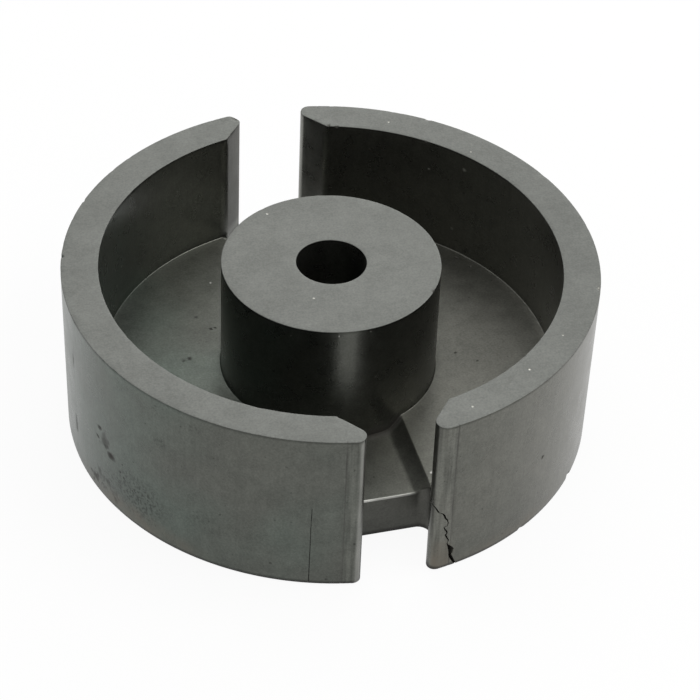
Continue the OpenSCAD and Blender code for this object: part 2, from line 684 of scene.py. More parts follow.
    def _floor(self, edge: np.ndarray, turn: np.ndarray) -> np.ndarray:
        """Floor, in straight lines in plan from the post's foot to its outer edge.

        Args:
            edge: Its outer edge.
            turn: The angle on the post that faces each point of the edge.

        Returns:
            Its points, rows from the foot to the edge.
        """
        s = self.sizes
        shares = np.linspace(0.0, 1.0, self.FLOOR_STEPS + 1)[:, None, None]
        foot = polar(s.post_r + s.foot_r, turn)
        plan = foot[None] * (1.0 - shares) + edge[None, :, :2] * shares
        return np.concatenate([plan, s.floor_height(plan[..., 0])[..., None]], axis=-1)

    def _spread(self, edge: np.ndarray) -> np.ndarray:
        """Angles on the post that face each point of the floor's edge.

        Along the notch's face and corner they share its x, so the channels' sides run
        straight, and from there on they turn in step with the length run.

        Args:
            edge: The floor's edge from the slots' middle plane to the X axis.

        Returns:
            One angle in radians for each point, falling from a right angle to 0.
        """
        s = self.sizes
        last = len(self.notch.points) - self.SIDE_STEPS - 1
        turn = np.arccos(np.clip(edge[:, 0] / (s.post_r + s.foot_r), -1.0, 1.0))
        run = length_run(edge[last:, :2])
        turn[last:] = turn[last] * (1.0 - run / run[-1])
        return turn

    def build(self) -> Skin:
        """Makes the quarter's walls, floor, faces and bore.

        Returns:
            The quarter's open skin, which its mirror images close.
        """
        s = self.sizes
        outer, notch, inner = self._outer_wall(), self._notch_wall(), self._inner_wall()
        edge = np.concatenate([notch[-1][::-1], inner[0][1:]])
        turn = self._spread(edge)
        floor = self._floor(edge, turn)

        line = Outline.arc(s.post_r, turn)
        foot = Edge(floor[0, :, 2], s.foot_r, line.facing, 1.0)
        post = self._wall(line, foot, self._rim(line.facing), self.POST_STEPS)

        bore_turn = np.linspace(QUARTER_TURN, 0.0, self.BORE_TURN_STEPS + 1)
        line = Outline.arc(s.bore_r, bore_turn, hollow=True)
        foot = Edge(0.0, s.rim_edge_r, -line.facing, 1.0)
        bore = self._wall(line, foot, self._rim(line.facing), self.POST_STEPS)

        for grid in (outer, notch, inner, floor):
            self.skin.add_grid(grid)
        self.skin.add_grid(post, turned=True)
        self.skin.add_grid(bore)

        # mating faces of ring and post
        tip = int(np.argmin(self.wall_end.facing[:, 0]))
        far_side = np.concatenate([inner[-1][::-1], outer[-1][tip:-1][::-1]])
        self.skin.add_strip(outer[-1][: tip + 1], far_side, turned=True)
        self.skin.add_strip(post[-1], bore[-1])

        # underside, as a ring under the wall and a disc under the floor
        under = np.column_stack([self.inner.points, np.zeros(len(self.inner.points))])
        under[0] = outer[0][-1]
        far_side = np.concatenate([under[::-1], outer[0][tip:-1][::-1]])
        self.skin.add_strip(outer[0][: tip + 1], far_side)
        edge = np.concatenate([notch[0][::-1], under[1:]])
        plan = polar(s.post_r + s.foot_r, self._spread(edge))
        ring = np.column_stack([plan, np.zeros(len(edge))])
        self.skin.add_grid(np.array([ring, edge]), turned=True)
        self.skin.add_strip(ring, bore[0], turned=True)
        return self.skin


# ---------------------------------------------------------------- damage, wear, painted shade and highlights

# Cracks in the ring wall's outside. Each corner holds the distance round the drum from
# the crack's azimuth, the height above the underside, and half the crack's width there.
MAIN_CRACK = (
    (-0.80, 6.84, 0.030), (-0.70, 6.69, 0.028), (-0.59, 6.52, 0.032), (-0.45, 6.22, 0.040),
    (-0.40, 6.18, 0.006), (-0.19, 6.09, 0.008), (-0.06, 5.94, 0.040), (0.04, 5.75, 0.054),
    (0.14, 5.44, 0.047), (0.29, 5.27, 0.040), (0.40, 4.93, 0.016), (0.36, 4.62, 0.008),
    (0.05, 4.57, 0.008), (0.13, 4.35, 0.032), (0.34, 3.99, 0.042), (0.36, 3.82, 0.042),
    (0.24, 3.66, 0.050), (0.38, 3.35, 0.040), (0.53, 3.02, 0.038), (0.51, 2.87, 0.014),
    (0.43, 2.72, 0.014), (0.50, 2.53, 0.040), (0.62, 2.31, 0.090), (0.76, 2.05, 0.180),
    (0.85, 1.84, 0.215), (0.84, 1.66, 0.190), (0.78, 1.44, 0.125), (0.81, 1.20, 0.110),
    (0.96, 0.88, 0.110), (1.12, 0.55, 0.085), (1.30, 0.22, 0.055), (1.42, -0.10, 0.030),
)
HAIRLINE = (
    (0.08, 8.0, 0.010), (0.05, 7.0, 0.016), (0.05, 6.8, 0.004), (0.04, 6.2, 0.004),
    (0.03, 6.0, 0.016), (0.02, 4.6, 0.020), (0.0, 3.0, 0.026), (-0.03, 0.2, 0.026),
)

# Pits on a round wall: azimuth in degrees and height, then radius, depth, and where they
# are given dark, pale, wide and rough, as in the Pit class.
OUTER_PITS = (
    (-161.3, 7.25, 0.24, 0.04, 0.85, 0.0, 1.6),
    (-162.3, 6.09, 0.20, 0.04, 0.70, 0.0, 1.6),
    (-159.4, 6.45, 0.55, 0.02, 0.60, 0.0, 0.9, 0.7),
    (-159.1, 5.95, 0.36, 0.03, 0.70, 0.0, 1.3, 0.7),
    (-157.3, 5.40, 0.40, 0.04, 1.0, 0.0, 1.6),
    (-154.0, 4.61, 0.15, 0.03, 0.60),
    (-152.9, 4.25, 0.16, 0.03, 0.60),
    (-153.2, 5.57, 0.12, 0.02, 0.50),
    (-150.1, 3.60, 0.14, 0.03, 0.55),
    (-146.2, 4.40, 0.12, 0.02, 0.50),
    (-164.0, 1.40, 0.45, 0.02, 0.60, 0.0, 1.4, 0.8),
    (-162.0, 2.55, 0.40, 0.02, 0.40, 0.0, 1.0, 0.8),
    (-158.8, 2.24, 0.42, 0.02, 0.45, 0.0, 1.3, 0.8),
    (-155.9, 1.13, 0.45, 0.02, 0.32, 0.0, 1.3, 0.8),
    (-174.5, 3.70, 0.80, 0.02, 0.45, 0.0, 0.35, 0.6),
    (-174.7, 10.3, 1.10, 0.02, 0.38, 0.0, 0.25, 0.6),
    (-53.4, 6.50, 0.22, 0.08, 0.80),
    (-38.4, 0.20, 0.48, 0.13, 0.30),
    (-58.6, 0.15, 0.40, 0.08, 0.40),
)
RING_SPECKS = (
    (48.4, 12.04, 0.14, 0.03, 0.0, 1.0),
    (37.9, 13.3, 0.24, 0.03, 0.0, 0.8),
    (40.4, 6.8, 0.18, 0.03, 0.0, 0.4),
    (143.5, 8.4, 0.14, 0.03, 0.0, 0.4),
)
POST_SPECKS = (
    (-100.6, 14.4, 0.11, 0.02, 0.0, 0.6),
    (-84.6, 14.5, 0.10, 0.02, 0.0, 0.5),
    (-125.6, 13.9, 0.11, 0.02, 0.0, 0.4),
    (-80.1, 9.7, 0.20, 0.02, 0.0, 0.12),
)

# Pits on a level face: x, y and how far below the face, then the same values.
FLOOR_PITS = (
    (-8.34, 6.01, 0.0, 0.18, 0.05, 0.8),
    (-7.95, 6.06, 0.0, 0.12, 0.04, 0.7),
    (-9.18, 7.76, 0.0, 0.20, 0.03, 0.45, 0.0, 1.0, 0.5),
    (-6.99, 11.86, 0.0, 0.15, 0.03, 0.0, 0.4),
    (-10.85, 2.73, 0.0, 0.20, 0.03, 0.7, 0.0, 1.2),
    (-11.40, 2.62, 0.0, 0.26, 0.02, 0.3, 0.0, 1.0, 0.5),
    (14.08, 10.59, 0.0, 0.22, 0.05, 0.5),
    (14.88, 9.14, 0.0, 0.16, 0.04, 0.5),
    (10.38, -1.36, 0.0, 0.15, 0.04, 0.8),
    (11.87, -2.73, 0.0, 0.14, 0.04, 0.7),
    (4.39, -14.74, 0.03, 0.17, 0.06, 0.0, 1.0),
)
FACE_PITS = (
    (9.53, 17.20, 0.0, 0.14, 0.05, 0.0, 1.0),
    (15.07, 11.64, 0.0, 0.11, 0.05, 0.0, 0.8),
    (14.97, -12.64, 0.0, 0.12, 0.05, 0.0, 0.7),
    (11.22, -15.90, 0.0, 0.15, 0.05, 0.0, 1.0),
    (5.79, -18.98, 0.0, 0.13, 0.04, 0.0, 0.8),
    (-3.44, 7.11, 0.0, 0.15, 0.05, 0.0, 0.75),
    (-2.47, -4.07, 0.0, 0.14, 0.05, 0.0, 0.75),
    (4.50, 17.85, 0.0, 0.20, 0.09, 0.4, 0.0, 1.0, 0.5),
    (5.10, 17.45, 0.0, 0.24, 0.08, 0.5, 0.0, 1.0, 0.5),
    (6.90, -5.35, 0.0, 0.34, 0.10, 0.35),
    (7.02, -5.25, 0.1, 0.14, 0.02, 0.0, 0.8),
    (19.62, -7.90, 0.0, 0.34, 0.12, 0.0, 0.3),
    (12.85, 16.80, 0.0, 0.26, 0.08, 0.0, 0.2),
    (-17.40, 12.02, 0.0, 0.28, 0.08, 0.0, 0.4),
    (-20.50, 5.33, 0.0, 0.30, 0.12, 0.2),
    (-2.85, 20.55, 0.0, 0.60, 0.10, 0.0, 0.0, 1.0, 0.1),
)

# Blotches on the outer wall: azimuth in degrees, height, half width, half height, strength.
STAINS = (
    (-149.0, 3.4, 4.2, 2.9, 0.9),
    (-156.0, 3.0, 2.4, 1.5, 0.7),
    (-162.7, 1.4, 1.6, 1.1, 1.0),
    (-166.0, 1.0, 1.3, 0.7, 0.9),
    (-156.9, 1.9, 1.2, 0.7, 0.6),
    (-141.8, 10.6, 1.0, 0.8, 0.5),
    (-133.4, 13.5, 0.9, 0.5, 0.5),
    (-132.5, 4.8, 1.6, 1.0, 0.4),
    (-174.5, 3.7, 0.4, 1.3, 1.0),
    (-174.7, 10.2, 0.35, 1.7, 0.9),
)
# Dust low on the wall, in the same columns. Its lighter colour is partly painted light, which offsets
# the darker table that the wall reflects near its base.
DUST_AND_LIGHT = (
    (-151.0, 0.4, 9.5, 2.2, 0.75),
    (-80.6, 1.3, 1.5, 2.4, 0.9),
    (-60.0, 0.3, 8.0, 1.6, 0.5),
)


@dataclass(frozen=True)
class Crack:
    """A jagged crack in the ring wall's outside, given in the plane that faces it.

    Its corners are as in the tables above, its depth is in millimetres, shade is painted
    inside it as dark from 0 to 1, and only points within reach of the outer wall belong to it.
    """

    azimuth: float
    corners: tuple[tuple[float, float, float], ...]
    depth: float
    cavity_shade: float
    reach: float = 3.0

    FAR = 99.0
    HALF_WHEN_FAR = 0.05

    def gap(self, points: np.ndarray, outer_r: float) -> tuple[np.ndarray, np.ndarray]:
        """Distance from the crack's middle line and half its width there."""
        c, s = math.cos(self.azimuth), math.sin(self.azimuth)
        across = points[:, 1] * c - points[:, 0] * s
        near = points[:, 0] * c + points[:, 1] * s > outer_r - self.reach
        distance = np.full(len(points), self.FAR)
        half = np.full(len(points), self.HALF_WHEN_FAR)
        if near.any():
            flat = np.stack([across, points[:, 2]], -1)[near]
            distance[near], half[near] = distance_to_path(flat, np.array(self.corners))
        return distance, half

    def fall(self, points: np.ndarray, outer_r: float) -> np.ndarray:
        """How far open the crack is at each point.

        It is 1 over the middle third of the crack's width and falls to 0 just past its
        edge, so that its walls are steep but not upright.
        """
        distance, half = self.gap(points, outer_r)
        return fade(0.0, 1.0, (distance - 0.35 * half) / (0.75 * half + 0.012))


@dataclass(frozen=True)
class Pit:
    """A shallow pit, chip or nick: a bowl pressed into the skin round one place.

    It is wide times as wide as it is high, its edge is uneven by rough, and it may carry
    a dark or a pale mark, from 0 to 1.
    """

    place: tuple[float, float, float]
    radius: float
    depth: float
    dark: float = 0.0
    pale: float = 0.0
    wide: float = 1.0
    rough: float = 0.35

    # The edge's unevenness reaches this many radii, in lumps of this share of the radius.
    ROUGH_REACH = 3.0
    LUMP_SHARE = 0.8

    @classmethod
    def on_wall(cls, reach: float, azimuth: float, height: float, *marks: float) -> "Pit":
        """A pit on a round wall whose radius is reach, with the rest as in the tables."""
        turn = math.radians(azimuth)
        return cls((reach * math.cos(turn), reach * math.sin(turn), height), *marks)

    def distance(self, points: np.ndarray) -> np.ndarray:
        """Distance from the pit's middle, shortened across and made uneven at its edge."""
        offset = points - np.array(self.place)
        across = unit(np.array([-self.place[1], self.place[0], 0.0]))
        offset = offset - np.outer(offset @ across, across) * (1.0 - 1.0 / self.wide)
        gap = np.linalg.norm(offset, axis=1)
        near = gap < self.radius * self.ROUGH_REACH
        if near.any():
            own_seed = int(abs(self.place[0] * 91.0 + self.place[1] * 37.0)) + 7
            lumps = grain(points[near], self.radius * self.LUMP_SHARE, own_seed)
            gap[near] *= 1.0 + self.rough * lumps
        return gap

    def fall(self, points: np.ndarray) -> np.ndarray:
        """Depth share at each point, from 0 at the pit's edge to 1 at its middle."""
        share = np.clip(self.distance(points) / self.radius, 0.0, 1.0)
        return (1.0 - share * share) ** 2


@dataclass(frozen=True)
class Stain:
    """A soft blotch on the outer wall: azimuth in degrees, the rest in millimetres."""

    azimuth: float
    height: float
    half_width: float
    half_height: float
    strength: float

    SOFT_FROM = 0.3
    WALL_SKIN = 0.5
    MESH_SHARE = 0.4

    def away(self, points: np.ndarray, outer_r: float) -> np.ndarray:
        """Distance from the stain's middle, where 1 is its edge, and far off the outer wall."""
        turn = np.arctan2(points[:, 1], points[:, 0]) - math.radians(self.azimuth)
        turn = (turn + math.pi) % (2.0 * math.pi) - math.pi
        across = turn * outer_r / self.half_width
        away = np.hypot(across, (points[:, 2] - self.height) / self.half_height)
        outside = np.hypot(points[:, 0], points[:, 1]) > outer_r - self.WALL_SKIN
        return np.where(outside, away, np.inf)

    def share(self, points: np.ndarray, outer_r: float) -> np.ndarray:
        """How strongly the stain shows at each point."""
        return self.strength * fade(self.SOFT_FROM, 1.0, self.away(points, outer_r))

    def least(self) -> float:
        """Half the stain's narrower side."""
        return min(self.half_width, self.half_height)


class Wear:
    """Everything that has happened to the half since it was fired: crack, pits and edge wear, with the
    shade and highlights painted on its skin.
    """

    # Edge lengths that the mesh needs in a crack, along rims and lips and far from all
    # marks, and how fast the length grows with the distance from what needs a short one.
    FINE, FINEST = 0.05, 0.02
    RIM, LIP, COARSE = 0.33, 0.16, 4.0
    GROWTH = 1.1

    # A feature's own length holds this far from it: in millimetres from a rim or a lip,
    # and as a share of half a crack's width or of a pit's radius.
    RIM_CLEAR, LIP_CLEAR, CRACK_CLEAR, PIT_CLEAR = 0.1, 0.22, 1.6, 1.2
    CRACK_SHARE, FACES_IN_PIT, LIP_HALF = 0.9, 3.5, 2.9

    # Chips along the mating faces' edges, and the mould's insert lines.
    CHIPPED_WIDTH, CHIP_DEPTH, UNCHIPPED = 0.16, 0.06, 0.35
    INSERT_HALF_WIDTH, INSERT_DEPTH = 0.08, 0.02

    # How dark the painted shade is at the post's foot, the left nose, the back left flank, the
    # notches and the base edge, how dark the insert lines are, and how pale the painted
    # highlights on the left nose, the lips and the back right flank are, from 0 to 1, and how
    # far some of them vary along their length.
    DARK_FOOT, DARK_NOSE, DARK_BACK_FLANK, DARK_NOTCH = 0.8, 0.5, 0.28, 0.3
    DARK_BASE_EDGE, DARK_INSERT_LINE = 0.95, 0.55
    PALE_RUBBED, PALE_LIP, PALE_BACK_FLANK = 0.20, 0.95, 0.12
    UNEVEN = 0.3

    # Millimetres over which these fade out: the painted shade at the post's foot sideways and
    # up, that at the base edge upwards, and the painted lip highlight round the lip and along
    # its length.
    FOOT_BAND, FOOT_TOP_BAND = (0.02, 0.35), (-0.12, 0.0)
    BASE_EDGE_BAND = (0.16, 0.34)
    LIP_BAND, LIP_END_BAND = (0.09, 0.15), (2.3, 3.0)

    # Angles round the left front nose, in degrees, between which a highlight is painted on it
    # and between which shade is painted where it turns in, as where each begins, is full,
    # fades and ends.
    RUBBED = (-82.0, -64.0, -44.0, -34.0)
    TURNED_IN = (-38.0, -30.0, 5.0, 20.0)

    def __init__(self, sizes: HalfSizes) -> None:
        """Sets out the damage on a half of these sizes."""
        self.sizes = s = sizes
        nose = math.atan2(s.nose[0], s.nose[1])
        hairline_azimuth = math.radians(-108.4)
        self.cracks = (
            Crack(nose - QUARTER_TURN, MAIN_CRACK, depth=0.55, cavity_shade=1.0),
            Crack(hairline_azimuth, HAIRLINE, depth=0.05, cavity_shade=0.68, reach=1.0),
        )
        self.pits = [Pit.on_wall(s.wall_r(row[1]), *row) for row in OUTER_PITS]
        self.pits += [Pit.on_wall(s.ring_inner_r, *row) for row in RING_SPECKS]
        self.pits += [Pit.on_wall(s.post_r, *row) for row in POST_SPECKS]
        for level, rows in ((s.base_t, FLOOR_PITS), (s.height, FACE_PITS)):
            self.pits += [Pit((x, y, level - below), *marks) for x, y, below, *marks in rows]
        self.stains = [Stain(*row) for row in STAINS]
        self.dust = [Stain(*row) for row in DUST_AND_LIGHT]

    # -- where the mesh has to be fine

    def rim_gap(self, points: np.ndarray) -> np.ndarray:
        """Distance from the nearest sharp edge of the mating faces."""
        s = self.sizes
        radius = np.hypot(points[:, 0], points[:, 1])
        plan = np.abs(radius[:, None] - np.array([s.outer_r, s.ring_inner_r, s.post_r, s.bore_r]))
        mirrored = np.abs(points[:, :2])
        nose = np.abs(np.linalg.norm(mirrored - s.nose, axis=1) - s.nose_r)
        flank = np.stack([s.nose + polar(s.nose_r, s.flank_angle), s.slot_corner])
        side, _ = distance_to_path(mirrored, np.pad(flank, ((0, 0), (0, 1))))
        plan = np.minimum(plan.min(axis=1), np.minimum(nose, side))
        return np.hypot(plan, np.maximum(0.0, s.height - points[:, 2]))

    def lip_offset(self, points: np.ndarray) -> tuple[np.ndarray, np.ndarray]:
        """How far each point lies from the channels' lips, along Y and up."""
        s = self.sizes
        return np.abs(points[:, 1]) - s.notch_y, s.channel_z - points[:, 2]

    def _grown(self, fine: np.ndarray | float, gap: np.ndarray) -> np.ndarray:
        """An edge length that is fine at a feature and grows with the gap to it."""
        return fine + self.GROWTH * np.maximum(0.0, gap)

    def _lengths(self, points: np.ndarray) -> Iterator[np.ndarray]:
        """Edge length that each feature asks for at each place.

        Args:
            points: The places.

        Yields:
            One feature's edge lengths after another's.
        """
        outer_r = self.sizes.outer_r
        yield self._grown(self.RIM, self.rim_gap(points) - self.RIM_CLEAR)
        for crack in self.cracks:
            distance, half = crack.gap(points, outer_r)
            fine = np.clip(self.CRACK_SHARE * half, self.FINEST, self.FINE)
            yield self._grown(fine, distance - self.CRACK_CLEAR * half)
        past = np.maximum(0.0, np.abs(points[:, 0]) - self.LIP_HALF)
        lip = np.hypot(np.hypot(*self.lip_offset(points)), past)
        yield self._grown(self.LIP, lip - self.LIP_CLEAR)
        for mark in (*self.stains, *self.dust):
            least = mark.least()
            yield self._grown(mark.MESH_SHARE * least, (mark.away(points, outer_r) - 1.0) * least)
        for pit in self.pits:
            distance = np.linalg.norm(points - np.array(pit.place), axis=1) / max(1.0, pit.wide)
            yield self._grown(pit.radius / self.FACES_IN_PIT, distance - pit.radius * self.PIT_CLEAR)

    def wanted(self, points: np.ndarray) -> np.ndarray:
        """Edge length that the mesh needs at each place."""
        wanted = np.full(len(points), self.COARSE)
        for length in self._lengths(points):
            wanted = np.minimum(wanted, length)
        return wanted

    # -- pressing it in

    def apply(self, skin: Skin) -> dict[str, np.ndarray]:
        """Presses the damage into a skin.

        Args:
            skin: The closed skin, already refined. Its points are moved.

        Returns:
            How dark, pale, stained and dusty the skin is at each point, from 0 to 1. Dark
            includes painted shade, pale includes painted highlights, and the dust also paints light
            low on the wall.
        """
        points, facing = skin.points.copy(), skin.normals()
        outer_r = self.sizes.outer_r
        rim = fade(0.0, self.CHIPPED_WIDTH, self.rim_gap(points))
        lumps = grain(points, 0.6, 3) + 0.3 * grain(points, 0.25, 4)
        chipped = np.clip(lumps - self.UNCHIPPED, 0.0, 1.0)
        groove = self._insert_line(points)
        sink = np.maximum(self.CHIP_DEPTH * rim * chipped, self.INSERT_DEPTH * groove)
        line = groove * self._uneven(points, self.DARK_INSERT_LINE, 1.6, 12)
        # Dark gathers the insert lines and the painted shade.
        dark = np.maximum(line, self._painted_shade(points))
        # Painted highlights on the left nose, the lips and the back right flank.
        pale = np.maximum(self._nose_sheen(points), self._lip_highlight(points))
        pale = np.maximum(pale, self.PALE_BACK_FLANK * self._back_flank(points, 1.0))
        for crack in self.cracks:
            fall = crack.fall(points, outer_r)
            clear_of_foot = smoothstep(0.0, 0.5, points[:, 2])
            sink = np.maximum(sink, crack.depth * fall * clear_of_foot)
            # Painted shade inside the cracks.
            dark = np.maximum(dark, crack.cavity_shade * fall)
        for pit in self.pits:
            fall = pit.fall(points)
            sink = np.maximum(sink, pit.depth * fall)
            dark = np.maximum(dark, pit.dark * np.sqrt(fall))
            pale = np.maximum(pale, pit.pale * fall)
        skin.points = points - facing * sink[:, None]
        marks = {"dark": np.clip(dark, 0.0, 1.0), "pale": np.clip(pale, 0.0, 1.0)}
        for name, blotches in (("stain", self.stains), ("dust", self.dust)):
            marks[name] = np.max([mark.share(points, outer_r) for mark in blotches], axis=0)
        return marks

    def _uneven(self, points: np.ndarray, mean: float, lump: float, seed: int) -> np.ndarray:
        """A strength that varies round its mean in lumps about lump across."""
        return mean + self.UNEVEN * grain(points, lump, seed)

    def _insert_line(self, points: np.ndarray) -> np.ndarray:
        """The fine upright witness lines where the mould's slot inserts met its ring."""
        aside = np.abs(np.abs(points[:, 0]) - self.sizes.insert_line_x)
        outside = np.hypot(points[:, 0], points[:, 1]) > self.sizes.outer_r - 0.3
        return np.clip(1.0 - aside / self.INSERT_HALF_WIDTH, 0.0, 1.0) * outside

    def _round_nose(self, points: np.ndarray, band: tuple[float, ...]) -> np.ndarray:
        """A strip up the left front nose between angles round it, full between the middle two."""
        offset = points[:, :2] + self.sizes.nose
        turn = np.degrees(np.arctan2(offset[:, 1], offset[:, 0]))
        near = np.linalg.norm(offset, axis=1) < self.sizes.nose_r + 0.15
        near &= points[:, 2] < self.sizes.height - 0.1
        return smoothstep(*band[:2], turn) * fade(*band[2:], turn) * near

    def _nose_sheen(self, points: np.ndarray) -> np.ndarray:
        """A painted highlight: a brighter strip up the left front end of the ring wall."""
        strip = self._round_nose(points, self.RUBBED)
        return self.PALE_RUBBED * strip * (1.0 + 0.4 * grain(points, 1.2, 21))

    def _lip_highlight(self, points: np.ndarray) -> np.ndarray:
        """A painted highlight along the edge where each channel ends at its notch."""
        edge = fade(*self.LIP_BAND, np.hypot(*self.lip_offset(points)))
        length = fade(*self.LIP_END_BAND, np.abs(points[:, 0]))
        return edge * length * self._uneven(points, self.PALE_LIP, 0.9, 31)

    def _back_flank(self, points: np.ndarray, side: float) -> np.ndarray:
        """Which points are on the back slot's flank: the right one for 1, the left for -1."""
        s = self.sizes
        x, y, z = points[:, 0] * side, points[:, 1], points[:, 2]
        flank = (y > s.slot_corner[1]) & (x > 0.0) & (x < s.slot_half + 0.02)
        flank &= (z > s.base_t + 0.05) & (z < s.height - 0.05)
        return flank & (np.hypot(x, y) < s.outer_r - 0.5)

    def _painted_shade(self, points: np.ndarray) -> np.ndarray:
        """Where shade is painted on the skin as dark marks.

        That is along the post's foot in a channel, where the left nose turns in, on the
        back left flank, at the underside's outer edge and in the notches.
        """
        s = self.sizes
        x, y, z = np.abs(points[:, 0]), np.abs(points[:, 1]), points[:, 2]
        radius = np.hypot(x, y)
        foot = fade(*self.FOOT_BAND, np.abs(radius - s.post_r - 0.05))
        foot *= fade(*self.FOOT_TOP_BAND, z - s.base_t) * smoothstep(s.base_t - 1.5, s.base_t - 1.2, z)
        notch = (radius < s.outer_r - 1.2) & (x < s.notch_half + 0.02)
        notch &= (y > s.notch_y - 0.03) & (z < s.base_t - 0.02)
        edge = fade(*self.BASE_EDGE_BAND, z) * (radius > s.outer_r - 1.0)
        shades = (
            self.DARK_FOOT * foot,
            self.DARK_NOSE * self._round_nose(points, self.TURNED_IN),
            self.DARK_BACK_FLANK * self._back_flank(points, -1.0),
            edge * self._uneven(points, self.DARK_BASE_EDGE, 1.4, 41),
            self.DARK_NOTCH * notch,
        )
        return np.maximum.reduce(shades)


# ---------------------------------------------------------------- finishes

Source = bpy.types.Node | bpy.types.NodeSocket | float


def linear(code: str) -> tuple[float, float, float, float]:
    """An sRGB hex colour as linear red, green, blue and alpha."""
    values = [int(code[i : i + 2], 16) / 255.0 for i in (1, 3, 5)]
    red, green, blue = (v / 12.92 if v <= 0.04045 else ((v + 0.055) / 1.055) ** 2.4 for v in values)
    return (red, green, blue, 1.0)


class Nodes:
    """A node tree that is built up from nothing."""

    def __init__(self, tree: bpy.types.NodeTree) -> None:
        """Empties the tree."""
        self.tree = tree
        tree.nodes.clear()

    def add(
        self, kind: str, *inputs: object, links: dict | None = None, **settings: object
    ) -> bpy.types.Node:
        """Adds a node with its settings and links.

        Args:
            kind: The node's type name.
            inputs: What feeds its inputs, in their order. A node feeds its first output, a
                socket feeds itself, and anything else is a value to set.
            links: The same for inputs given by name or number.
            settings: Properties of the node itself.

        Returns:
            The new node.
        """
        node = self.tree.nodes.new(kind)
        for name, value in settings.items():
            setattr(node, name, value)
        for name, value in [*enumerate(inputs), *(links or {}).items()]:
            if isinstance(value, bpy.types.Node):
                value = value.outputs[0]
            if isinstance(value, bpy.types.NodeSocket):
                self.tree.links.new(value, node.inputs[name])
            else:
                node.inputs[name].default_value = value
        return node


class Region(Enum):
    """Which of the two finishes a face has, by material slot number."""

    FIRED = 0
    GROUND = 1


@dataclass(frozen=True)
class FiredFerrite:
    """Manganese-zinc ferrite as it leaves the kiln: a dark grey half-gloss skin.

    To the eye it is a ceramic with a metal's dull mirror. Pressing leaves faint upright
    drag lines, firing leaves a fine grain, cloudy patches and a tint that drifts in lumps
    from green to warm grey, and iron-rich specks show black. Painted light lies on top:
    the right side is painted lighter and warmer and the left greener, level faces are
    painted lighter, the dust low on the wall also paints light, shade is painted as dark
    bands under the rim and along the base's edge, and the skin's dark and pale marks add
    painted shade and highlights.

    The real grain and drag lines are a few hundredths of a millimetre across, too fine to
    show, so grain_mm and drag_mm are as coarse as they need to be. Names that end in
    share say how far a pattern makes the colour lighter or darker.
    """

    name: str = "ferrite_as_fired"
    green: str = "#5b625c"
    plain: str = "#595b56"
    warm: str = "#6a6a64"
    # Dust colour, lighter than the skin, which also paints light low on the wall.
    dust: str = "#6b665d"
    # Colours of the dark and the pale marks: pores and painted shade, flakes and painted highlights.
    pore_and_shade: str = "#19120c"
    flake_and_highlight: str = "#cfcfca"
    metallic: float = 0.94
    roughness: float = 0.29
    level_roughness: float = 0.46
    # Level faces are painted lighter than steep ones, as light from above would make them.
    level_light_gain: float = 1.27
    relief_mm: float = 0.010
    tint_mm: float = 12.0
    # How far the painted side light shifts the tint: lighter and warmer to the right, greener to the
    # left.
    side_light_drift: float = 0.2
    grain_mm: float = 0.16
    grain_share: float = 0.16
    drag_mm: float = 0.35
    drag_share: float = 0.05
    drawn_share: float = 0.22
    cloud_mm: float = 1.6
    cloud_share: float = 0.10
    smudge_mm: float = 0.7
    smudge_share: float = 0.07
    speck_mm: float = 0.42
    speck_gain: float = 0.6
    fleck_mm: float = 0.252
    stain_depth: float = 0.62
    # Painted shade: a dark band just under the rim and a darker one along the base's edge, with where
    # each lies and how dark it is.
    rim_shade_mm: tuple[float, float] = (0.28, 0.06)
    rim_shade_gain: float = 0.6
    base_shadow_mm: tuple[float, float] = (0.28, 0.56)
    base_shadow_gain: float = 0.3


@dataclass(frozen=True)
class GroundFerrite:
    """The same ferrite where it is ground flat to mate: matte, paler, faintly mottled.

    Its grinding strokes and grain are drawn coarser than they are, so that they show. Its colour is
    painted darker towards the right, as shade against the lamp on that side.
    """

    name: str = "ferrite_ground"
    face: str = "#747672"
    shade: str = "#6a6c68"
    # Colours of the dark and the pale marks, which on these faces are pores and flakes.
    pore_and_shade: str = "#34332f"
    flake_and_highlight: str = "#dad8cf"
    metallic: float = 0.5
    roughness: float = 0.6
    relief_mm: float = 0.006
    grain_mm: float = 0.15
    grain_share: float = 0.14
    stroke_mm: float = 0.12
    stroke_share: float = 0.04
    stroke_turn: float = 0.6
    mottle_mm: float = 3.0
    smudge_mm: float = 0.6
    smudge_share: float = 0.06
    # Painted shade: the faces darken from this x outwards towards +X, down to this gain.
    painted_shade_from_x: float = 6.0
    painted_shade_gain: float = 0.86


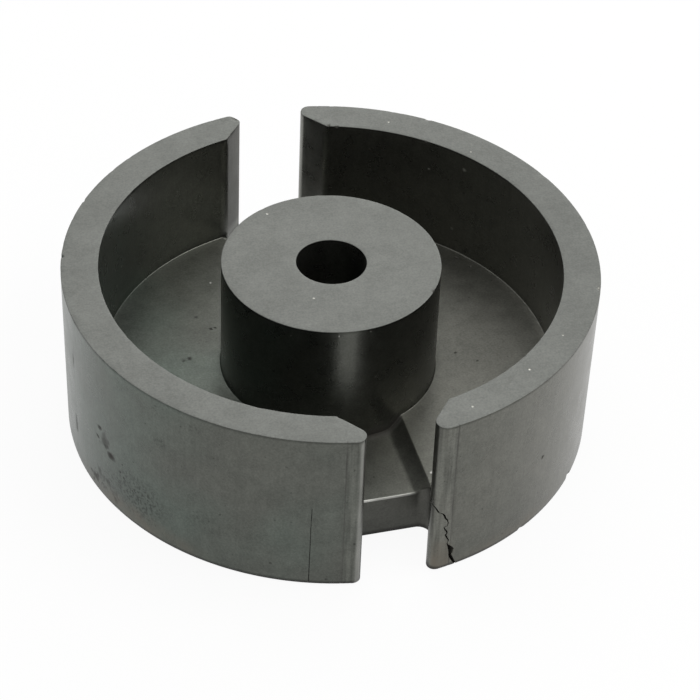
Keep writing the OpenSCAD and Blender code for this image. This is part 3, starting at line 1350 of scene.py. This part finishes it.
class MaterialKit:
    """Makes the two ferrite finishes as node materials on Object coordinates."""

    DRAG_STRETCH = (1.0, 1.0, 0.06)
    STROKE_STRETCH = (0.03, 1.0, 1.0)

    # The ring wall's ends, where the drag lines are strongest: across and along the slots.
    DRAWN_X = (4.1, 4.5)
    DRAWN_Y = (19.0, 19.4)

    # Noise mostly lies within the first span. A face goes from steep to level while its
    # facing's Z crosses the second.
    NOISE_SPAN = (0.25, 0.75)
    LEVEL_FACING = (0.6, 0.9)

    # How strong the relief is, how far the roughness varies, and what a dark mark adds.
    RELIEF_STRENGTH = 0.5
    ROUGHNESS_SHARE = 0.04
    DARK_ROUGHNESS = 0.4

    def __init__(self, sizes: HalfSizes) -> None:
        """Keeps the sizes, for the bands at rim and foot."""
        self.sizes = sizes
        self.nodes: Nodes | None = None
        self.place: bpy.types.NodeSocket | None = None
        self.facing: bpy.types.NodeSocket | None = None

    def fired(self, finish: FiredFerrite) -> bpy.types.Material:
        """The as-fired skin.

        Args:
            finish: Its colours and scales.

        Returns:
            The material.
        """
        material = self._start(finish.name)
        add = self.nodes.add
        place = add("ShaderNodeSeparateXYZ", self.place).outputs
        drag = self._pattern(finish.drag_mm, 3.0, self.DRAG_STRETCH)
        speckle = self._pattern(finish.grain_mm)
        cloud = self._pattern(finish.cloud_mm, 3.0)
        smudge = self._pattern(finish.smudge_mm)
        colour = self._varied(self._tint_and_side_light(finish, place["X"]), drag, finish.drag_share)
        colour = self._scaled(colour, self._drawn(finish, drag, place))
        colour = self._varied(colour, cloud, finish.cloud_share)
        colour = self._varied(colour, smudge, finish.smudge_share)
        colour = self._varied(colour, speckle, finish.grain_share)
        # Dust, mixed in partly as painted light low on the wall.
        settled = add("ShaderNodeMapRange", cloud, 0.35, 0.6, 0.4, 1.0)
        dust_and_light_share = add("ShaderNodeMath", self._mark("dust"), settled, operation="MULTIPLY")
        colour = self._mixed(dust_and_light_share, colour, finish.dust)
        colour = self._scaled(colour, self._darkening(finish, place["Z"]))
        colour = self._marked(colour, finish.pore_and_shade, finish.flake_and_highlight)
        # Painted light: level faces are painted lighter by a gain, and they are also rougher.
        slope = add("ShaderNodeSeparateXYZ", self.facing).outputs["Z"]
        steepness = add("ShaderNodeMath", slope, operation="ABSOLUTE")
        level = add("ShaderNodeMapRange", steepness, *self.LEVEL_FACING, 0.0, 1.0)
        gain = add("ShaderNodeMapRange", level, 0.0, 1.0, 1.0, finish.level_light_gain)
        colour = self._scaled(colour, gain)
        ends = (finish.roughness, finish.level_roughness)
        roughness = add("ShaderNodeMapRange", level, 0.0, 1.0, *ends)
        relief = add("ShaderNodeMath", speckle, drag, operation="ADD")
        self._finish(material, finish, colour, relief, roughness, cloud)
        return material

    def ground(self, finish: GroundFerrite) -> bpy.types.Material:
        """The ground mating faces.

        Args:
            finish: Its colours and scales.

        Returns:
            The material.
        """
        material = self._start(finish.name)
        add = self.nodes.add
        mottle = self._pattern(finish.mottle_mm, 4.0)
        colour = self._ramp(mottle, ((0.35, finish.shade), (0.65, finish.face)))
        # Painted shade: darker towards +X.
        x = add("ShaderNodeSeparateXYZ", self.place).outputs["X"]
        span = (finish.painted_shade_from_x * MM, self.sizes.outer_r * MM)
        colour = self._scaled(colour, add("ShaderNodeMapRange", x, *span, 1.0, finish.painted_shade_gain))
        stroke = self._pattern(finish.stroke_mm, 2.0, self.STROKE_STRETCH, finish.stroke_turn)
        speckle = self._pattern(finish.grain_mm)
        colour = self._varied(colour, stroke, finish.stroke_share)
        colour = self._varied(colour, self._pattern(finish.smudge_mm), finish.smudge_share)
        colour = self._varied(colour, speckle, finish.grain_share)
        colour = self._marked(colour, finish.pore_and_shade, finish.flake_and_highlight)
        relief = add("ShaderNodeMath", speckle, stroke, operation="ADD")
        self._finish(material, finish, colour, relief, finish.roughness, mottle)
        return material

    # -- what only the fired skin has

    def _tint_and_side_light(self, finish: FiredFerrite, x: Source) -> Source:
        """The skin's own colour drifts in lumps between green and warm grey. A painted side light
        shifts it towards green on the left and towards the lighter warm grey on the right.
        """
        add, reach, drift = self.nodes.add, self.sizes.outer_r * MM, finish.side_light_drift
        # Painted light: the colour is shifted lighter and warmer towards +X.
        side = add("ShaderNodeMapRange", x, -reach, reach, -drift, drift)
        lumps = add("ShaderNodeMapRange", self._pattern(finish.tint_mm), 0.3, 0.7, 0.42, 0.58)
        place = add("ShaderNodeMath", lumps, side, operation="ADD")
        stops = ((0.32, finish.green), (0.41, finish.plain), (0.66, finish.warm))
        return self._ramp(place, stops)

    def _drawn(self, finish: FiredFerrite, drag: Source, place: bpy.types.NodeOutputs) -> Source:
        """A gain that streaks the ring wall's ends, where the tool drew over the ferrite."""
        add = self.nodes.add
        inside = []
        for axis, span, ends in (("X", self.DRAWN_X, (1.0, 0.0)), ("Y", self.DRAWN_Y, (0.0, 1.0))):
            away = add("ShaderNodeMath", place[axis], operation="ABSOLUTE")
            inside.append(add("ShaderNodeMapRange", away, span[0] * MM, span[1] * MM, *ends))
        where = add("ShaderNodeMath", *inside, operation="MULTIPLY")
        depth = add("ShaderNodeMath", where, finish.drawn_share, operation="MULTIPLY")
        streak = add("ShaderNodeMapRange", drag, 0.35, 0.65, -1.0, 1.0)
        change = add("ShaderNodeMath", streak, depth, operation="MULTIPLY")
        return add("ShaderNodeMath", change, 1.0, operation="ADD")

    def _darkening(self, finish: FiredFerrite, z: Source) -> Source:
        """A gain below 1 at specks and in stains, and painted shade along the rim and the base's edge.
        """
        add, top = self.nodes.add, self.sizes.height
        specks = self._pattern(finish.speck_mm, 1.0)
        sparse = add("ShaderNodeMapRange", specks, 0.74, 0.80, 1.0, finish.speck_gain)
        blotch = add("ShaderNodeMapRange", self._pattern(finish.fleck_mm), 0.48, 0.62, 0.12, 1.0)
        stain = add("ShaderNodeMath", self._mark("stain"), blotch, operation="MULTIPLY")
        held = add("ShaderNodeMapRange", stain, 0.0, 1.0, 1.0, 1.0 - finish.stain_depth)
        # Painted shade under the rim and painted shadow along the base's edge.
        low, high = ((top - below) * MM for below in finish.rim_shade_mm)
        rim = add("ShaderNodeMapRange", z, low, high, 1.0, finish.rim_shade_gain)
        low, high = (above * MM for above in finish.base_shadow_mm)
        base = add("ShaderNodeMapRange", z, low, high, finish.base_shadow_gain, 1.0)
        marks = add("ShaderNodeMath", sparse, held, operation="MULTIPLY")
        bands = add("ShaderNodeMath", rim, base, operation="MULTIPLY")
        return add("ShaderNodeMath", marks, bands, operation="MULTIPLY")

    # -- steps that both finishes share

    def _start(self, name: str) -> bpy.types.Material:
        """An empty node material. The steps below build in its tree, on its Object place."""
        material = bpy.data.materials.new(name)
        material.use_nodes = True
        self.nodes = Nodes(material.node_tree)
        spots = self.nodes.add("ShaderNodeTexCoord").outputs
        self.place, self.facing = spots["Object"], spots["Normal"]
        return material

    def _pattern(
        self, size_mm: float, detail: float = 2.0, stretch: tuple = (1.0, 1.0, 1.0), turn: float = 0.0
    ) -> Source:
        """Noise with lumps about size_mm across, stretched and turned about Z if asked."""
        links = {"Vector": self.place, "Scale": stretch, "Rotation": (0.0, 0.0, turn)}
        spot = self.nodes.add("ShaderNodeMapping", links=links)
        links = {"Vector": spot, "Scale": 1.0 / (size_mm * MM), "Detail": detail}
        return self.nodes.add("ShaderNodeTexNoise", links=links)

    def _ramp(self, value: Source, stops: tuple[tuple[float, str], ...]) -> Source:
        """A colour read from stops given as place and hex colour."""
        ramp = self.nodes.add("ShaderNodeValToRGB", value)
        elements = ramp.color_ramp.elements
        while len(elements) < len(stops):
            elements.new(0.5)
        for element, (position, code) in zip(elements, stops):
            element.position = position
            element.color = linear(code)
        return ramp

    def _scaled(self, colour: Source, gain: Source) -> Source:
        """A colour made lighter or darker by a factor."""
        return self.nodes.add("ShaderNodeVectorMath", colour, links={"Scale": gain}, operation="SCALE")

    def _varied(self, colour: Source, pattern: Source, share: float) -> Source:
        """A colour made up to share lighter or darker by a pattern."""
        ends = (1.0 - share, 1.0 + share)
        gain = self.nodes.add("ShaderNodeMapRange", pattern, *self.NOISE_SPAN, *ends)
        return self._scaled(colour, gain)

    def _mixed(self, share: Source, colour: Source, code: str) -> Source:
        """A colour taken by a share towards a hex colour."""
        links = {0: share, 6: colour, 7: linear(code)}
        return self.nodes.add("ShaderNodeMix", links=links, data_type="RGBA").outputs[2]

    def _mark(self, name: str) -> Source:
        """A mark that the skin's points carry."""
        return self.nodes.add("ShaderNodeAttribute", attribute_name=name).outputs["Fac"]

    def _marked(self, colour: Source, pore_and_shade: str, flake_and_highlight: str) -> Source:
        """A colour with the dark and the pale marks that the skin carries: pits and painted shade in
        the dark, flakes and painted highlights in the pale.
        """
        colour = self._mixed(self._mark("dark"), colour, pore_and_shade)
        return self._mixed(self._mark("pale"), colour, flake_and_highlight)

    def _finish(
        self,
        material: bpy.types.Material,
        finish: FiredFerrite | GroundFerrite,
        colour: Source,
        relief: Source,
        roughness: Source,
        pattern: Source,
    ) -> None:
        """Feeds the surface shader. Dark marks are dull: rougher, and with no metal's mirror.

        Args:
            material: The material being built.
            finish: How metallic it is and how deep its relief is.
            colour: Its colour.
            relief: The pattern of its fine relief.
            roughness: Its middle roughness.
            pattern: The pattern by which the roughness varies.
        """
        add = self.nodes.add
        strength, vary = self.RELIEF_STRENGTH, self.ROUGHNESS_SHARE
        links = {"Strength": strength, "Distance": finish.relief_mm * MM, "Height": relief}
        bump = add("ShaderNodeBump", links=links)
        change = add("ShaderNodeMapRange", pattern, *self.NOISE_SPAN, -vary, vary)
        varied = add("ShaderNodeMath", roughness, change, operation="ADD")
        dark = self._mark("dark")
        rougher = add("ShaderNodeMapRange", dark, 0.0, 1.0, 0.0, self.DARK_ROUGHNESS)
        rough = add("ShaderNodeMath", varied, rougher, operation="ADD")
        metal = add("ShaderNodeMapRange", dark, 0.0, 1.0, finish.metallic, 0.0)
        links = {"Base Color": colour, "Metallic": metal, "Roughness": rough, "Normal": bump}
        add("ShaderNodeOutputMaterial", add("ShaderNodeBsdfPrincipled", links=links))


# ---------------------------------------------------------------- the piece


class PotCoreHalf:
    """The whole half as one piece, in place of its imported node."""

    REFINE_ROUNDS = 24
    GROUND_DEPTH = 0.035
    LEVEL = 1e-5
    SHARP_DEGREES = 42.0

    def __init__(self, sizes: HalfSizes) -> None:
        """Keeps the sizes."""
        self.sizes = sizes

    def skin(self) -> tuple[Skin, dict[str, np.ndarray]]:
        """The closed, refined and worn skin, and its marks.

        Returns:
            The skin, and the marks that its points carry.
        """
        skin = Quarter(self.sizes).build()
        skin.mirror(0)
        skin.mirror(1)
        skin.weld()
        wear = Wear(self.sizes)
        skin.refine(wear.wanted, self.REFINE_ROUNDS)
        return skin, wear.apply(skin)

    def make(self) -> bpy.types.Object:
        """Builds the piece, gives it its finishes and hands it to the frame.

        Returns:
            The finished object.
        """
        skin, marks = self.skin()
        mesh = bpy.data.meshes.new("pot_core_half_surface")
        mesh.from_pydata((skin.points * MM).tolist(), [], skin.faces.tolist())
        for name, values in marks.items():
            attribute = mesh.attributes.new(name, "FLOAT", "POINT")
            attribute.data.foreach_set("value", values.astype(np.float32))
        kit = MaterialKit(self.sizes)
        mesh.materials.append(kit.fired(FiredFerrite()))
        mesh.materials.append(kit.ground(GroundFerrite()))
        heights, top = skin.points[skin.faces][..., 2], self.sizes.height
        ground = heights.mean(axis=1) > top - self.GROUND_DEPTH
        region = np.where(ground, Region.GROUND.value, Region.FIRED.value).astype(np.int32)
        mesh.polygons.foreach_set("material_index", region)
        level = np.ptp(heights, axis=1) < self.LEVEL
        level &= (heights[:, 0] < self.LEVEL) | (heights[:, 0] > top - self.LEVEL)
        mesh.polygons.foreach_set("use_smooth", ~level)
        mesh.set_sharp_from_angle(angle=math.radians(self.SHARP_DEGREES))
        mesh.update()
        piece = bpy.data.objects.new("pot_core_half_finished", mesh)
        bpy.context.scene.collection.objects.link(piece)
        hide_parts(NODE)
        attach(piece, BODY)
        LOG.info("pot_core_half: %d triangles, volume %.1f mm3", len(skin.faces), skin.volume())
        return piece


# ---------------------------------------------------------------- studio and camera


@dataclass(frozen=True)
class CameraPlace:
    """Where the camera stands: angles in degrees, lengths in millimetres."""

    azimuth: float = -16.7
    elevation: float = 40.158
    roll: float = 2.454
    distance: float = 220.474
    target_height: float = 7.1175
    pan: tuple[float, float] = (1.7128, -1.0799)
    lens: float = 141.04
    sensor: float = 36.0
    clip_start: float = 0.01

    def place(self) -> bpy.types.Object:
        """Adds the camera and makes it the scene's.

        Returns:
            The camera object.
        """
        degrees = (self.azimuth, self.elevation, self.roll)
        azimuth, elevation, roll = (math.radians(angle) for angle in degrees)
        level = Vector((math.cos(azimuth), math.sin(azimuth), 0.0))
        ahead = Vector((math.sin(azimuth), -math.cos(azimuth), 0.0))
        back = math.cos(elevation) * ahead + Vector((0.0, 0.0, math.sin(elevation)))
        upright = back.cross(level)
        right = math.cos(roll) * level + math.sin(roll) * upright
        up = math.cos(roll) * upright - math.sin(roll) * level
        spot = Vector((0.0, 0.0, self.target_height))
        spot += self.pan[0] * right + self.pan[1] * up + self.distance * back
        data = bpy.data.cameras.new("camera")
        data.lens = self.lens
        data.sensor_width = self.sensor
        data.clip_start = self.clip_start
        camera = bpy.data.objects.new("camera", data)
        turn = Matrix((right, up, back)).transposed().to_4x4()
        camera.matrix_world = Matrix.Translation(spot * MM) @ turn
        bpy.context.scene.collection.objects.link(camera)
        bpy.context.scene.camera = camera
        return camera


@dataclass(frozen=True)
class SoftBox:
    """A square soft lamp that faces the half.

    Azimuth is its direction in plan from the X axis and elevation its height above the
    table, in degrees. Radiance is how bright its face is, where 1 is white. Its distance
    and its side are in metres.
    """

    name: str
    azimuth: float
    elevation: float
    radiance: float
    tint: str
    distance: float = 0.5
    side: float = 0.3

    def place(self) -> None:
        """Adds the lamp."""
        turn, rise = math.radians(self.azimuth), math.radians(self.elevation)
        level = math.cos(rise)
        away = Vector((level * math.cos(turn), level * math.sin(turn), math.sin(rise)))
        data = bpy.data.lights.new(self.name, "AREA")
        data.size = self.side
        data.energy = self.radiance * math.pi * self.side * self.side
        data.color = linear(self.tint)[:3]
        lamp = bpy.data.objects.new(self.name, data)
        lamp.location = away * self.distance
        lamp.rotation_euler = away.to_track_quat("Z", "Y").to_euler()
        bpy.context.scene.collection.objects.link(lamp)


class Studio:
    """A plain white table top under soft light."""

    FLOOR_HALF = 1.5
    FLOOR_CLEARANCE = 0.02
    PAPER = "#efefef"
    WHITE = "#ffffff"
    STRAIGHT_GLOW = 0.93
    MIRRORED_GLOW = 0.6
    SURROUND_LIGHT = 0.64
    LAMPS = (
        SoftBox("lamp_behind", azimuth=60.0, elevation=20.0, radiance=2.2, tint="#fffffc"),
        SoftBox("lamp_above", azimuth=90.0, elevation=65.0, radiance=1.8, tint="#ffffff"),
        SoftBox("lamp_right", azimuth=-20.0, elevation=50.0, radiance=3.4, tint="#fffdfa"),
    )

    def build(self) -> None:
        """Adds the floor, the lamps and the world."""
        self._floor()
        for lamp in self.LAMPS:
            lamp.place()
        self._world()
        scene = bpy.context.scene
        scene.view_settings.view_transform = "Standard"

    def _glow(self, nodes: Nodes) -> Source:
        """How much of the table's own white shows: most to the eye, less in reflections."""
        rays = nodes.add("ShaderNodeLightPath").outputs
        pair = (rays["Is Glossy Ray"], rays["Is Transmission Ray"])
        mirrored = nodes.add("ShaderNodeMath", *pair, operation="MAXIMUM")
        weaker = nodes.add("ShaderNodeMath", mirrored, self.MIRRORED_GLOW, operation="MULTIPLY")
        pair = (rays["Is Camera Ray"], self.STRAIGHT_GLOW)
        straight = nodes.add("ShaderNodeMath", *pair, operation="MULTIPLY")
        return nodes.add("ShaderNodeMath", straight, weaker, operation="MAXIMUM")

    def _floor(self) -> None:
        """The table top, which looks white and still takes the half's soft shadow.

        It lies a little below the underside, so that the two don't share a plane.
        """
        half, z = self.FLOOR_HALF, -self.FLOOR_CLEARANCE * MM
        corners = [(-half, -half, z), (half, -half, z), (half, half, z), (-half, half, z)]
        mesh = bpy.data.meshes.new("table_top")
        mesh.from_pydata(corners, [], [(0, 1, 2, 3)])
        floor = bpy.data.objects.new("table_top", mesh)
        bpy.context.scene.collection.objects.link(floor)
        material = bpy.data.materials.new("white_paper")
        material.use_nodes = True
        nodes = Nodes(material.node_tree)
        paper = nodes.add("ShaderNodeBsdfDiffuse", linear(self.PAPER))
        white = nodes.add("ShaderNodeEmission", linear(self.WHITE), 1.0)
        both = nodes.add("ShaderNodeMixShader", self._glow(nodes), paper, white)
        nodes.add("ShaderNodeOutputMaterial", both)
        mesh.materials.append(material)

    def _world(self) -> None:
        """An even pale surround, white to the eye."""
        world = bpy.data.worlds.new("surround")
        bpy.context.scene.world = world
        world.use_nodes = True
        nodes = Nodes(world.node_tree)
        lit = nodes.add("ShaderNodeBackground", linear(self.WHITE), self.SURROUND_LIGHT)
        white = nodes.add("ShaderNodeBackground", linear(self.WHITE), 1.0)
        seen = nodes.add("ShaderNodeLightPath").outputs["Is Camera Ray"]
        both = nodes.add("ShaderNodeMixShader", seen, lit, white)
        nodes.add("ShaderNodeOutputWorld", both)


def main() -> None:
    """Builds the half and its studio, and logs the half's triangle count and volume."""
    logging.basicConfig(level=logging.INFO, format="%(name)s: %(message)s")
    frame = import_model()
    CameraPlace().place()
    sizes = HalfSizes.from_frame(frame["record"])
    PotCoreHalf(sizes).make()
    Studio().build()


if __name__ == "__main__":
    main()
